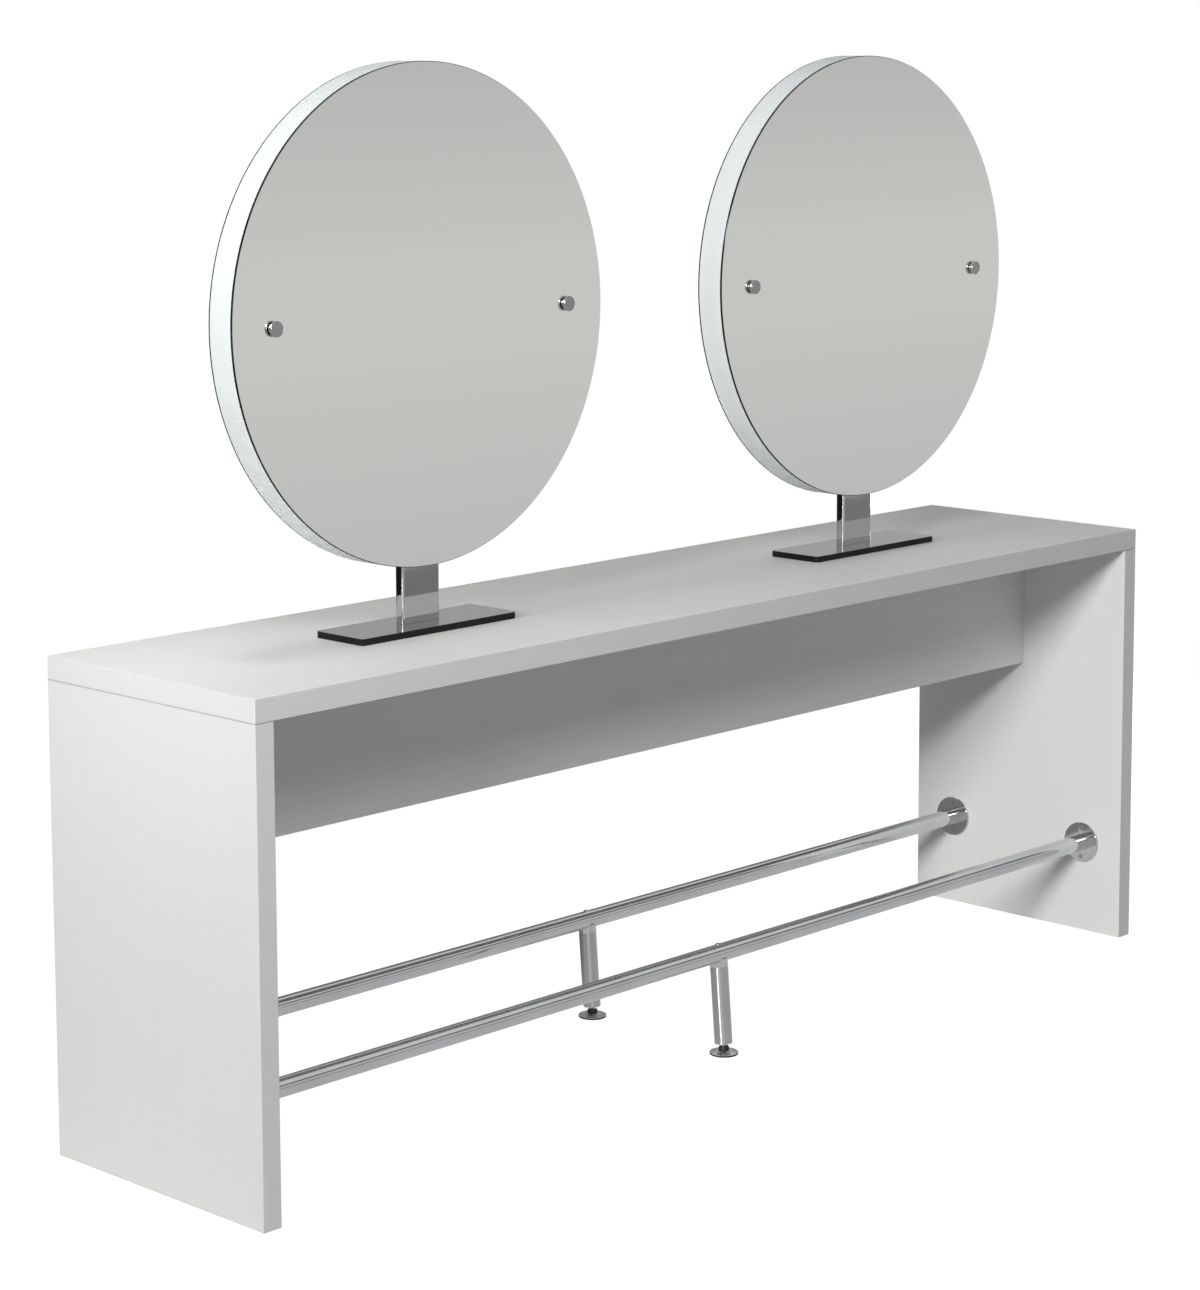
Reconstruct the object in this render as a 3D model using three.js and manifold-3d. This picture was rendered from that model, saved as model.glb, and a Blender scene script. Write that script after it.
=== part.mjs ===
// Double sided salon station: a white table on two slab sides, two round mirrors that face both ways
// on chrome posts, and a chrome foot rail along each side, held up at mid length by a leaning leg
// with a levelling foot. Units are millimetres. X runs along the table, Y across it, +Z is up and
// the floor is Z = 0, with the origin under the middle of the table.

import * as THREE from 'three';
import { mergeVertices } from 'three/addons/utils/BufferGeometryUtils.js';
import Module from 'manifold-3d';

const wasm = await Module();
wasm.setup();

// Fits
const FIT_GAP = 0.3;
const OVERCUT = 2;
const MERGE_DISTANCE = 1e-4;

// Table boards
const TOP_LENGTH = 2400;
const TOP_DEPTH = 534;
const TOP_HEIGHT = 866;
const TOP_THICKNESS = 40;
const SIDE_THICKNESS = 38;
const STRETCHER_THICKNESS = 25;
const STRETCHER_HEIGHT = 270;

// Foot rails and their wall flanges
const RAIL_INSET = 97;
const RAIL_HEIGHT = 190;
const TUBE_DIAMETER = 33.7;
const TUBE_WALL = 2;
const FLANGE_DIAMETER = 86;
const FLANGE_THICKNESS = 4;
const FLANGE_EDGE = 1;
const FLANGE_SPIGOT = 20;
const FLANGE_SCREW_INSET = 13;
const SCREW_DIAMETER = 5;
const SCREW_HEAD_DIAMETER = 10;
const SCREW_HEAD_SINK = 0.3;
const SCREW_SOCKET_DIAMETER = 4;
const SCREW_SOCKET_DEPTH = 1.5;
const SCREW_TIP = 6;
const SCREW_COVER = 10;

// Rail legs
const LEG_OFFSET = 0;
const LEG_LEAN = THREE.MathUtils.degToRad(4.5);
const SADDLE_NECK = 7.5;
const SADDLE_GRIP = 9;
const SADDLE_SPIGOT = 26;
const SADDLE_FLOOR = 4;
const LEG_SCREW_DIAMETER = 6;
const LEG_SCREW_HEAD_DIAMETER = 11;
const LEG_SCREW_HEAD_HEIGHT = 3;
const LEG_SCREW_HEAD_SINK = 1;
const LEG_SCREW_SOCKET_DIAMETER = 4;
const LEG_SCREW_SOCKET_DEPTH = 2;
const INSERT_LENGTH = 22;
const INSERT_RECESS = 0.5;

// Levelling feet
const BALL_HEIGHT = 10;
const HUB_RADIUS = 10;
const HUB_TOP = 4.5;
const HUB_TILT_ROOM = 2;
const HUB_BORE_DEPTH = 2;
const LEG_TO_HUB = 6;
const STEM_DIAMETER = 10;
const STEM_LENGTH = 60;
const STEM_CHAMFER = 1;
const PAD_THICKNESS = 3;
const DISC_DIAMETER = 54;
const DISC_RIM = 1.2;
const DISC_BELOW_BALL = 2;
const DISC_COLLAR = 3;

// Mirror stands
const MIRROR_SPACING = 1200;
const PLATE_LENGTH = 370;
const PLATE_DEPTH = 120;
const PLATE_THICKNESS = 12;
const PLATE_CORNER = 8;
const POST_WIDTH = 88;
const POST_DEPTH = 20;
const POST_WALL = 2.5;
const POST_CORNER = 4;
const POST_INSERTION = 260;
const ANCHOR_DIAMETER = 8;
const ANCHOR_HEAD_DIAMETER = 20;
const ANCHOR_HEAD_HEIGHT = 6;
const ANCHOR_COVER = 2.5;
const ANCHOR_SPREAD = 260;
const ANCHOR_SIDE_ROOM = 15;
const POST_BOLT_DIAMETER = 8;
const POST_BOLT_HEAD_DIAMETER = 14;
const POST_BOLT_HEAD_HEIGHT = 6;
const POST_BOLT_SINK = 1;
const POST_BOLT_RISE = 150;

// Mirrors
const MIRROR_DIAMETER = 870;
const MIRROR_GAP = 113;
const CORE_THICKNESS = 52;
const GLASS_THICKNESS = 4;
const RIM_THICKNESS = 2.5;
const KNOB_INSET = 90;
const KNOB_STUD_DIAMETER = 8;
const KNOB_STUD_DEPTH = 20;
const KNOB_NECK_DIAMETER = 17;
const KNOB_NECK_LENGTH = 3.5;
const KNOB_HEAD_DIAMETER = 27;
const KNOB_HEAD_HEIGHT = 5.5;
const KNOB_EDGE = 1;

// Facets of round forms
const HOLE_SIDES = 12;
const SCREW_SIDES = 12;
const KNOB_SIDES = 16;
const TUBE_SIDES = 32;
const FOOT_SIDES = 28;
const BALL_STEPS = 5;
const CORNER_STEPS = 4;
const MIRROR_SIDES = 96;

// Finishes
const MELAMINE = { color: 0xe8e8e6, roughness: 0.45, metalness: 0 };
const CHROME = { color: 0xc4c8ca, roughness: 0.08, metalness: 1 };
const STEEL = { color: 0x9a9da0, roughness: 0.3, metalness: 1 };
const SILVERED_GLASS = { color: 0xc5c6c0, roughness: 0.03, metalness: 1 };
const RIM_WHITE = { color: 0xeef5f5, roughness: 0.35, metalness: 0 };
const FIBREBOARD = { color: 0xa98f6c, roughness: 0.8, metalness: 0 };
const BLACK_NYLON = { color: 0x101112, roughness: 0.4, metalness: 0 };
const BLACK_RUBBER = { color: 0x151515, roughness: 0.85, metalness: 0 };

// Sizes that follow from the ones above
const topUnderside = TOP_HEIGHT - TOP_THICKNESS;
const innerHalfLength = TOP_LENGTH / 2 - SIDE_THICKNESS;
const railAcross = TOP_DEPTH / 2 - RAIL_INSET;
const tubeRadius = TUBE_DIAMETER / 2;
const tubeBore = tubeRadius - TUBE_WALL;
const plugRadius = tubeBore - FIT_GAP;
const flangeScrewRadius = FLANGE_DIAMETER / 2 - FLANGE_SCREW_INSET;
const screwRadius = SCREW_DIAMETER / 2;
const screwHeadRadius = SCREW_HEAD_DIAMETER / 2;
const screwHeadDepth = screwHeadRadius - screwRadius;
const screwReach = SIDE_THICKNESS - SCREW_COVER;
const saddleSeam = tubeRadius + SADDLE_NECK;
const saddleEnd = saddleSeam + SADDLE_SPIGOT;
const legScrewRadius = LEG_SCREW_DIAMETER / 2;
const legScrewSeat = tubeRadius - LEG_SCREW_HEAD_SINK;
const ballDistance = (RAIL_HEIGHT - BALL_HEIGHT) / Math.cos(LEG_LEAN);
const legEnd = ballDistance - HUB_TOP - LEG_TO_HUB;
const hubBottom = BALL_HEIGHT - PAD_THICKNESS - HUB_TILT_ROOM;
const stemRadius = STEM_DIAMETER / 2;
const mirrorRadius = MIRROR_DIAMETER / 2;
const mirrorCentre = MIRROR_GAP + mirrorRadius;
const coreRadius = mirrorRadius - RIM_THICKNESS - FIT_GAP;
const knobOffset = mirrorRadius - KNOB_INSET;
const studRadius = KNOB_STUD_DIAMETER / 2;
const postTop = MIRROR_GAP + POST_INSERTION;
const postBoltHeight = MIRROR_GAP + POST_BOLT_RISE;
const anchorAcross = STRETCHER_THICKNESS / 2 + ANCHOR_SIDE_ROOM + ANCHOR_HEAD_DIAMETER / 2;

// A closed geometry as a solid that can be cut
function solidOf(geometry) {
  const bare = geometry.clone();
  bare.deleteAttribute('normal');
  bare.deleteAttribute('uv');
  const merged = mergeVertices(bare, MERGE_DISTANCE);
  const corners = Array.from(merged.index.array);
  const triangles = [];
  for (let i = 0; i < corners.length; i += 3) {
    const [a, b, c] = corners.slice(i, i + 3);
    if (a !== b && b !== c && c !== a) {
      triangles.push(a, b, c);
    }
  }
  const mesh = new wasm.Mesh({
    numProp: 3,
    vertProperties: new Float32Array(merged.attributes.position.array),
    triVerts: new Uint32Array(triangles),
  });
  return new wasm.Manifold(mesh);
}

// A geometry less the cutters, in the same frame
function carve(geometry, cutters) {
  let solid = solidOf(geometry);
  for (const cutter of cutters) {
    solid = solid.subtract(solidOf(cutter));
  }
  const mesh = solid.getMesh();
  const carved = new THREE.BufferGeometry();
  carved.setAttribute('position', new THREE.BufferAttribute(new Float32Array(mesh.vertProperties), 3));
  carved.setIndex(Array.from(mesh.triVerts));
  carved.computeVertexNormals();
  return carved;
}

// A turned form about Z; the profile is [radius, height] pairs that climb the outside
function turned(profile, sides) {
  const points = profile.map(([radius, height]) => new THREE.Vector2(radius, height));
  return new THREE.LatheGeometry(points, sides).rotateX(Math.PI / 2);
}

// A round tube about Z between two heights
function ring(outer, inner, bottom, top, sides) {
  const profile = [[inner, bottom], [outer, bottom], [outer, top], [inner, top], [inner, bottom]];
  return turned(profile, sides);
}

// A cutter for a round hole about Z between two heights
function bore(radius, bottom, top, sides = HOLE_SIDES) {
  return turned([[0, bottom], [radius, bottom], [radius, top], [0, top]], sides);
}

// Points of an arc about a point on the axis, from one angle to another
function arc(radius, height, from, to, steps) {
  const points = [];
  for (let i = 0; i <= steps; i += 1) {
    const angle = from + (to - from) * i / steps;
    points.push([radius * Math.cos(angle), height + radius * Math.sin(angle)]);
  }
  return points;
}

// A rectangle with round corners, centred on the origin
function roundedRectangle(width, depth, corner, Kind = THREE.Shape) {
  const x = width / 2 - corner;
  const y = depth / 2 - corner;
  const outline = new Kind();
  outline.absarc(x, y, corner, 0, Math.PI / 2);
  outline.absarc(-x, y, corner, Math.PI / 2, Math.PI);
  outline.absarc(-x, -y, corner, Math.PI, Math.PI * 1.5);
  outline.absarc(x, -y, corner, Math.PI * 1.5, Math.PI * 2);
  return outline;
}

// A flat outline raised from one height to another
function raised(shape, bottom, top) {
  const options = { depth: top - bottom, bevelEnabled: false, curveSegments: CORNER_STEPS };
  return new THREE.ExtrudeGeometry(shape, options).translate(0, 0, bottom);
}

// One named piece in its group, with a material of its own
function addPiece(parent, name, geometry, finish) {
  const mesh = new THREE.Mesh(geometry, new THREE.MeshStandardMaterial(finish));
  mesh.name = name;
  parent.add(mesh);
  return mesh;
}

// A group at a place, turned about one axis
function addGroup(parent, [x, y, z], axis = 'x', angle = 0) {
  const group = new THREE.Group();
  group.position.set(x, y, z);
  group.rotation[axis] = angle;
  parent.add(group);
  return group;
}

const station = new THREE.Group();
const ENDS = [['left', -1], ['right', 1]];
const FACES = [['front', -1], ['back', 1]];

// Where a mirror's two anchor bolts stand, from the middle of its base plate
function anchorPlaces(side) {
  const along = side * ANCHOR_SPREAD / 2;
  return [['front', along, -anchorAcross], ['back', -along, anchorAcross]];
}

// Table top, with a through hole for each anchor bolt
function addTop() {
  const board = new THREE.BoxGeometry(TOP_LENGTH, TOP_DEPTH, TOP_THICKNESS);
  const holes = [];
  for (const [, side] of ENDS) {
    for (const [, along, across] of anchorPlaces(side)) {
      const reach = TOP_THICKNESS / 2 + OVERCUT;
      const hole = bore(ANCHOR_DIAMETER / 2 + FIT_GAP, -reach, reach);
      holes.push(hole.translate(side * MIRROR_SPACING / 2 + along, across, 0));
    }
  }
  const top = addPiece(station, 'table_top', carve(board, holes), MELAMINE);
  top.position.z = TOP_HEIGHT - TOP_THICKNESS / 2;
}

// Side panels, each with a pilot hole for each flange screw on its inner face
function addSidePanels() {
  for (const [end, side] of ENDS) {
    const board = new THREE.BoxGeometry(SIDE_THICKNESS, TOP_DEPTH, topUnderside);
    const holes = [];
    for (const [, face] of FACES) {
      for (const up of [-1, 1]) {
        const hole = bore(screwRadius + FIT_GAP, -screwReach - FIT_GAP, OVERCUT);
        hole.rotateY(-side * Math.PI / 2);
        const height = RAIL_HEIGHT + up * flangeScrewRadius - topUnderside / 2;
        holes.push(hole.translate(-side * SIDE_THICKNESS / 2, face * railAcross, height));
      }
    }
    const panel = addPiece(station, `${end}_side_panel`, carve(board, holes), MELAMINE);
    panel.position.set(side * (TOP_LENGTH - SIDE_THICKNESS) / 2, 0, topUnderside / 2);
  }
}

// Stretcher panel under the middle of the top
function addStretcher() {
  const board = new THREE.BoxGeometry(innerHalfLength * 2, STRETCHER_THICKNESS, STRETCHER_HEIGHT);
  const stretcher = addPiece(station, 'stretcher_panel', board, MELAMINE);
  stretcher.position.z = topUnderside - STRETCHER_HEIGHT / 2;
}

// Round wall flange: Z = 0 is its back, and the spigot carries the rail
function flangeGeometry() {
  const radius = FLANGE_DIAMETER / 2;
  const disc = turned([
    [0, 0],
    [radius, 0],
    [radius, FLANGE_THICKNESS - FLANGE_EDGE],
    [radius - FLANGE_EDGE, FLANGE_THICKNESS],
    [plugRadius, FLANGE_THICKNESS],
    [plugRadius, FLANGE_THICKNESS + FLANGE_SPIGOT],
    [0, FLANGE_THICKNESS + FLANGE_SPIGOT],
  ], TUBE_SIDES);
  const holes = [-1, 1].map((up) => turned([
    [0, -OVERCUT],
    [screwRadius + FIT_GAP, -OVERCUT],
    [screwRadius + FIT_GAP, FLANGE_THICKNESS - screwHeadDepth],
    [screwHeadRadius + FIT_GAP, FLANGE_THICKNESS],
    [screwHeadRadius + FIT_GAP, FLANGE_THICKNESS + OVERCUT],
    [0, FLANGE_THICKNESS + OVERCUT],
  ], SCREW_SIDES).translate(up * flangeScrewRadius, 0, 0));
  return carve(disc, holes);
}

// Countersunk flange screw, in the flange's frame, on its own axis
function flangeScrewGeometry() {
  const face = FLANGE_THICKNESS - SCREW_HEAD_SINK;
  const socketRadius = SCREW_SOCKET_DIAMETER / 2;
  return turned([
    [0, -screwReach],
    [screwRadius, SCREW_TIP - screwReach],
    [screwRadius, face - screwHeadDepth],
    [screwHeadRadius, face],
    [socketRadius, face],
    [socketRadius, face - SCREW_SOCKET_DEPTH],
    [0, face - SCREW_SOCKET_DEPTH],
  ], SCREW_SIDES);
}

function addFlanges() {
  for (const [face, across] of FACES) {
    for (const [end, side] of ENDS) {
      const place = [side * innerHalfLength, across * railAcross, RAIL_HEIGHT];
      const wall = addGroup(station, place, 'y', -side * Math.PI / 2);
      addPiece(wall, `${face}_${end}_rail_flange`, flangeGeometry(), CHROME);
      for (const [level, up] of [['upper', side], ['lower', -side]]) {
        const name = `${face}_${end}_flange_${level}_screw`;
        addPiece(wall, name, flangeScrewGeometry(), CHROME).position.x = up * flangeScrewRadius;
      }
    }
  }
}

// Foot rail along X, about its own axis, drilled for the leg screw
function railGeometry() {
  const end = innerHalfLength - FLANGE_THICKNESS - FIT_GAP;
  const tube = ring(tubeRadius, tubeBore, -end, end, TUBE_SIDES).rotateY(Math.PI / 2);
  const reach = tubeRadius + OVERCUT;
  const hole = bore(legScrewRadius + FIT_GAP, -reach, reach);
  const seat = bore(LEG_SCREW_HEAD_DIAMETER / 2 + FIT_GAP, legScrewSeat - FIT_GAP, reach);
  return carve(tube, [hole.translate(LEG_OFFSET, 0, 0), seat.translate(LEG_OFFSET, 0, 0)]);
}

// Saddle between rail and leg: coped to the rail above, a plug in the leg below
function saddleGeometry() {
  const body = turned([
    [0, -saddleEnd],
    [plugRadius, -saddleEnd],
    [plugRadius, -saddleSeam],
    [tubeRadius, -saddleSeam],
    [tubeRadius, SADDLE_GRIP - tubeRadius],
    [0, SADDLE_GRIP - tubeRadius],
  ], TUBE_SIDES);
  const cope = bore(tubeRadius + FIT_GAP, -TUBE_DIAMETER, TUBE_DIAMETER, TUBE_SIDES);
  const thread = bore(legScrewRadius + FIT_GAP, SADDLE_FLOOR - saddleEnd, 0);
  return carve(body, [cope.rotateY(Math.PI / 2), thread]);
}

// Leg screw: button head on the rail, shank through the rail into the saddle
function legScrewGeometry() {
  const headRadius = LEG_SCREW_HEAD_DIAMETER / 2;
  const face = legScrewSeat + LEG_SCREW_HEAD_HEIGHT;
  const socketRadius = LEG_SCREW_SOCKET_DIAMETER / 2;
  return turned([
    [0, SADDLE_FLOOR + FIT_GAP - saddleEnd],
    [legScrewRadius, SADDLE_FLOOR + FIT_GAP - saddleEnd],
    [legScrewRadius, legScrewSeat],
    [headRadius, legScrewSeat],
    [headRadius, (legScrewSeat + face) / 2],
    [(headRadius + socketRadius) / 2, face],
    [socketRadius, face],
    [socketRadius, face - LEG_SCREW_SOCKET_DEPTH],
    [0, face - LEG_SCREW_SOCKET_DEPTH],
  ], SCREW_SIDES);
}

// Ball hub about its own centre, with a blind bore for the stem
function hubGeometry() {
  const low = -Math.asin(hubBottom / HUB_RADIUS);
  const high = Math.asin(HUB_TOP / HUB_RADIUS);
  const boreRadius = stemRadius + FIT_GAP;
  return turned([
    [0, -hubBottom],
    ...arc(HUB_RADIUS, 0, low, high, BALL_STEPS),
    [boreRadius, HUB_TOP],
    [boreRadius, -HUB_BORE_DEPTH],
    [0, -HUB_BORE_DEPTH],
  ], FOOT_SIDES);
}

// Threaded stem in the ball hub's frame
function stemGeometry() {
  const bottom = FIT_GAP - HUB_BORE_DEPTH;
  const top = bottom + STEM_LENGTH;
  return turned([
    [0, bottom],
    [stemRadius, bottom],
    [stemRadius, top - STEM_CHAMFER],
    [stemRadius - STEM_CHAMFER, top],
    [0, top],
  ], SCREW_SIDES);
}

// Foot disc standing on the pad, with a round socket for the ball hub
function discGeometry() {
  const socket = HUB_RADIUS + FIT_GAP;
  const low = Math.asin((PAD_THICKNESS - BALL_HEIGHT) / socket);
  const high = -Math.asin(DISC_BELOW_BALL / socket);
  const top = BALL_HEIGHT - DISC_BELOW_BALL;
  const wall = arc(socket, BALL_HEIGHT, high, low, BALL_STEPS);
  const [lip] = wall;
  const foot = wall.at(-1);
  return turned([
    foot,
    [DISC_DIAMETER / 2, PAD_THICKNESS],
    [DISC_DIAMETER / 2, PAD_THICKNESS + DISC_RIM],
    [lip[0] + DISC_COLLAR, top],
    ...wall,
  ], FOOT_SIDES);
}

// Foot rail with its leg and levelling foot, leaning together about the rail's axis
function addRails() {
  for (const [face, across] of FACES) {
    const railY = across * railAcross;
    const rail = addGroup(station, [0, railY, RAIL_HEIGHT], 'x', -LEG_LEAN);
    addPiece(rail, `${face}_foot_rail`, railGeometry(), CHROME);

    const leg = addGroup(rail, [LEG_OFFSET, 0, 0]);
    addPiece(leg, `${face}_leg_saddle`, saddleGeometry(), CHROME);
    addPiece(leg, `${face}_leg_screw`, legScrewGeometry(), STEEL);
    const tube = ring(tubeRadius, tubeBore, -legEnd, -saddleSeam, TUBE_SIDES);
    addPiece(leg, `${face}_leg_tube`, tube, CHROME);
    const insertBottom = INSERT_RECESS - legEnd;
    const insertBore = stemRadius + FIT_GAP;
    const insert = ring(plugRadius, insertBore, insertBottom, insertBottom + INSERT_LENGTH, TUBE_SIDES);
    addPiece(leg, `${face}_leg_insert`, insert, STEEL);

    const ball = addGroup(leg, [0, 0, -ballDistance]);
    addPiece(ball, `${face}_foot_hub`, hubGeometry(), BLACK_NYLON);
    addPiece(ball, `${face}_foot_stem`, stemGeometry(), STEEL);

    const footY = railY - Math.sin(LEG_LEAN) * ballDistance;
    const foot = addGroup(station, [LEG_OFFSET, footY, 0]);
    addPiece(foot, `${face}_foot_disc`, discGeometry(), CHROME);
    const pad = bore(DISC_DIAMETER / 2, 0, PAD_THICKNESS, FOOT_SIDES);
    addPiece(foot, `${face}_foot_pad`, pad, BLACK_RUBBER);
  }
}

// Base plate on the table top, with a blind hole for each anchor bolt
function plateGeometry(side) {
  const outline = roundedRectangle(PLATE_LENGTH, PLATE_DEPTH, PLATE_CORNER);
  const holes = anchorPlaces(side).map(([, along, across]) => {
    const hole = bore(ANCHOR_DIAMETER / 2 + FIT_GAP, -OVERCUT, PLATE_THICKNESS - ANCHOR_COVER);
    return hole.translate(along, across, 0);
  });
  return carve(raised(outline, 0, PLATE_THICKNESS), holes);
}

// Anchor bolt from under the table top up into the base plate
function anchorGeometry() {
  const headRadius = ANCHOR_HEAD_DIAMETER / 2;
  const shankRadius = ANCHOR_DIAMETER / 2;
  const tip = PLATE_THICKNESS - ANCHOR_COVER - FIT_GAP;
  return turned([
    [0, -TOP_THICKNESS - ANCHOR_HEAD_HEIGHT],
    [headRadius, -TOP_THICKNESS - ANCHOR_HEAD_HEIGHT],
    [headRadius, -TOP_THICKNESS],
    [shankRadius, -TOP_THICKNESS],
    [shankRadius, tip],
    [0, tip],
  ], SCREW_SIDES);
}

// Flat tube post, drilled across for the post bolt
function postGeometry() {
  const outline = roundedRectangle(POST_WIDTH, POST_DEPTH, POST_CORNER);
  const innerCorner = Math.max(POST_CORNER - POST_WALL, FIT_GAP);
  const inner = [POST_WIDTH - POST_WALL * 2, POST_DEPTH - POST_WALL * 2, innerCorner];
  outline.holes.push(roundedRectangle(...inner, THREE.Path));
  const tube = raised(outline, PLATE_THICKNESS, postTop);
  const reach = POST_DEPTH / 2 + OVERCUT;
  const hole = bore(POST_BOLT_DIAMETER / 2 + FIT_GAP, -reach, reach);
  return carve(tube, [hole.rotateX(Math.PI / 2).translate(0, 0, postBoltHeight)]);
}

// Space that the post takes in the mirror
function postSocket() {
  const width = POST_WIDTH + FIT_GAP * 2;
  const depth = POST_DEPTH + FIT_GAP * 2;
  const height = postTop + FIT_GAP;
  return new THREE.BoxGeometry(width, depth, height).translate(0, 0, height / 2);
}

// A form turned about the mirror's own axis, with its outside facing one way across the table
function faceTurned(geometry, across) {
  return geometry.rotateX(-across * Math.PI / 2);
}

// Mirror core: a fibreboard disc with the post socket, the bolt hole and the stud holes
function coreGeometry() {
  const half = CORE_THICKNESS / 2;
  const disc = bore(coreRadius, -half, half, MIRROR_SIDES);
  const cutters = [postSocket()];
  const boltRadius = POST_BOLT_DIAMETER / 2 + FIT_GAP;
  const seat = half - POST_BOLT_SINK - POST_BOLT_HEAD_HEIGHT - FIT_GAP;
  const boltHole = bore(boltRadius, -half - OVERCUT, half + OVERCUT);
  const headHole = bore(POST_BOLT_HEAD_DIAMETER / 2 + FIT_GAP, seat, half + OVERCUT);
  for (const hole of [boltHole, headHole]) {
    cutters.push(faceTurned(hole, -1).translate(0, 0, postBoltHeight));
  }
  for (const [, across] of FACES) {
    for (const [, side] of ENDS) {
      const hole = bore(studRadius + FIT_GAP, half - KNOB_STUD_DEPTH - FIT_GAP, half + OVERCUT);
      cutters.push(faceTurned(hole, across).translate(side * knobOffset, 0, mirrorCentre));
    }
  }
  return carve(faceTurned(disc, 1).translate(0, 0, mirrorCentre), cutters);
}

// Rim: a white band round the core, open below for the post
function rimGeometry() {
  const half = CORE_THICKNESS / 2;
  const band = ring(mirrorRadius, mirrorRadius - RIM_THICKNESS, -half, half, MIRROR_SIDES);
  return carve(faceTurned(band, 1).translate(0, 0, mirrorCentre), [postSocket()]);
}

// Mirror glass on one face of the core, with a hole for each knob's stud
function glassGeometry(across) {
  const inner = CORE_THICKNESS / 2;
  const outer = inner + GLASS_THICKNESS;
  const disc = bore(mirrorRadius, inner, outer, MIRROR_SIDES);
  const holes = ENDS.map(([, side]) => {
    const hole = bore(studRadius + FIT_GAP, inner - OVERCUT, outer + OVERCUT);
    return faceTurned(hole, across).translate(side * knobOffset, 0, mirrorCentre);
  });
  return carve(faceTurned(disc, across).translate(0, 0, mirrorCentre), holes);
}

// Mirror knob: a stud through the glass, a neck that holds the glass and a head
function knobGeometry() {
  const neckRadius = KNOB_NECK_DIAMETER / 2;
  const headRadius = KNOB_HEAD_DIAMETER / 2;
  const glassFace = CORE_THICKNESS / 2 + GLASS_THICKNESS;
  const headBottom = glassFace + KNOB_NECK_LENGTH;
  const headTop = headBottom + KNOB_HEAD_HEIGHT;
  const studEnd = CORE_THICKNESS / 2 - KNOB_STUD_DEPTH;
  return turned([
    [0, studEnd],
    [studRadius, studEnd],
    [studRadius, glassFace],
    [neckRadius, glassFace],
    [neckRadius, headBottom],
    [headRadius - KNOB_EDGE, headBottom],
    [headRadius, headBottom + KNOB_EDGE],
    [headRadius, headTop - KNOB_EDGE],
    [headRadius - KNOB_EDGE, headTop],
    [0, headTop],
  ], KNOB_SIDES);
}

// Post bolt across the core and the post, its head sunk under the front glass
function postBoltGeometry() {
  const half = CORE_THICKNESS / 2;
  const shankRadius = POST_BOLT_DIAMETER / 2;
  const face = half - POST_BOLT_SINK;
  const seat = face - POST_BOLT_HEAD_HEIGHT;
  return turned([
    [0, -face],
    [shankRadius, -face],
    [shankRadius, seat],
    [POST_BOLT_HEAD_DIAMETER / 2, seat],
    [POST_BOLT_HEAD_DIAMETER / 2, face],
    [0, face],
  ], SCREW_SIDES);
}

// Mirror stands on the table top, each with a mirror that faces both ways
function addMirrors() {
  for (const [end, side] of ENDS) {
    const stand = addGroup(station, [side * MIRROR_SPACING / 2, 0, TOP_HEIGHT]);
    addPiece(stand, `${end}_mirror_base_plate`, plateGeometry(side), CHROME);
    addPiece(stand, `${end}_mirror_post`, postGeometry(), CHROME);
    for (const [face, along, across] of anchorPlaces(side)) {
      const anchor = addPiece(stand, `${end}_mirror_${face}_anchor_bolt`, anchorGeometry(), STEEL);
      anchor.position.set(along, across, 0);
    }
    addPiece(stand, `${end}_mirror_core`, coreGeometry(), FIBREBOARD);
    addPiece(stand, `${end}_mirror_rim`, rimGeometry(), RIM_WHITE);
    const bolt = addPiece(stand, `${end}_mirror_post_bolt`, faceTurned(postBoltGeometry(), -1), STEEL);
    bolt.position.z = postBoltHeight;
    for (const [face, across] of FACES) {
      addPiece(stand, `${end}_mirror_${face}_glass`, glassGeometry(across), SILVERED_GLASS);
      for (const [knobEnd, knobSide] of ENDS) {
        const name = `${end}_mirror_${face}_${knobEnd}_knob`;
        const knob = addPiece(stand, name, faceTurned(knobGeometry(), across), CHROME);
        knob.position.set(knobSide * knobOffset, 0, mirrorCentre);
      }
    }
  }
}

addTop();
addSidePanels();
addStretcher();
addFlanges();
addRails();
addMirrors();

export default station;
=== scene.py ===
"""Looks of a double sided salon station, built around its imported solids.

A white table on slab sides carries two round mirrors that face both ways, and a chrome foot rail
runs along each side with a levelling foot at mid length. All sizes are metres in the part's frame.
"""
import logging
import math
from dataclasses import dataclass
from enum import Enum
from typing import Any, Callable, Dict, List, Optional, Sequence, Tuple, Union

import bpy
from mathutils import Matrix, Vector


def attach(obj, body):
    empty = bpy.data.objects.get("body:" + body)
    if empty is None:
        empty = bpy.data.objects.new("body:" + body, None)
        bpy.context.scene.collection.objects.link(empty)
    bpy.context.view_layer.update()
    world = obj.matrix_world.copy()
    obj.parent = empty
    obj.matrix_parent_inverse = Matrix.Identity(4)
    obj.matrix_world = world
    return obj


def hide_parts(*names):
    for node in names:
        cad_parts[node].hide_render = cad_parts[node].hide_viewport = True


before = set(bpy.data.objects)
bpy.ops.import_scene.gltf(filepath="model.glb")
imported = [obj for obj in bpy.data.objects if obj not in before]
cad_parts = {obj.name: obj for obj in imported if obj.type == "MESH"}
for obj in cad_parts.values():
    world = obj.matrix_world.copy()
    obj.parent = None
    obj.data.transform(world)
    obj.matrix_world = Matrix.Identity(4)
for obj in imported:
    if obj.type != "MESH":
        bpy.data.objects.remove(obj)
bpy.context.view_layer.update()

LOG = logging.getLogger("salon_station")
Pair = Tuple[float, float]
Point = Tuple[float, float, float]
Colour = Tuple[float, float, float, float]
Profile = List[Pair]
Number = Union[int, float]
Piece = bpy.types.Object
Material = bpy.types.Material
STATION = "station"
TURN = math.tau
QUARTER = math.pi / 2
SMOOTH_ANGLE = math.radians(32)
BEVEL_ANGLE = math.radians(38)
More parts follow.
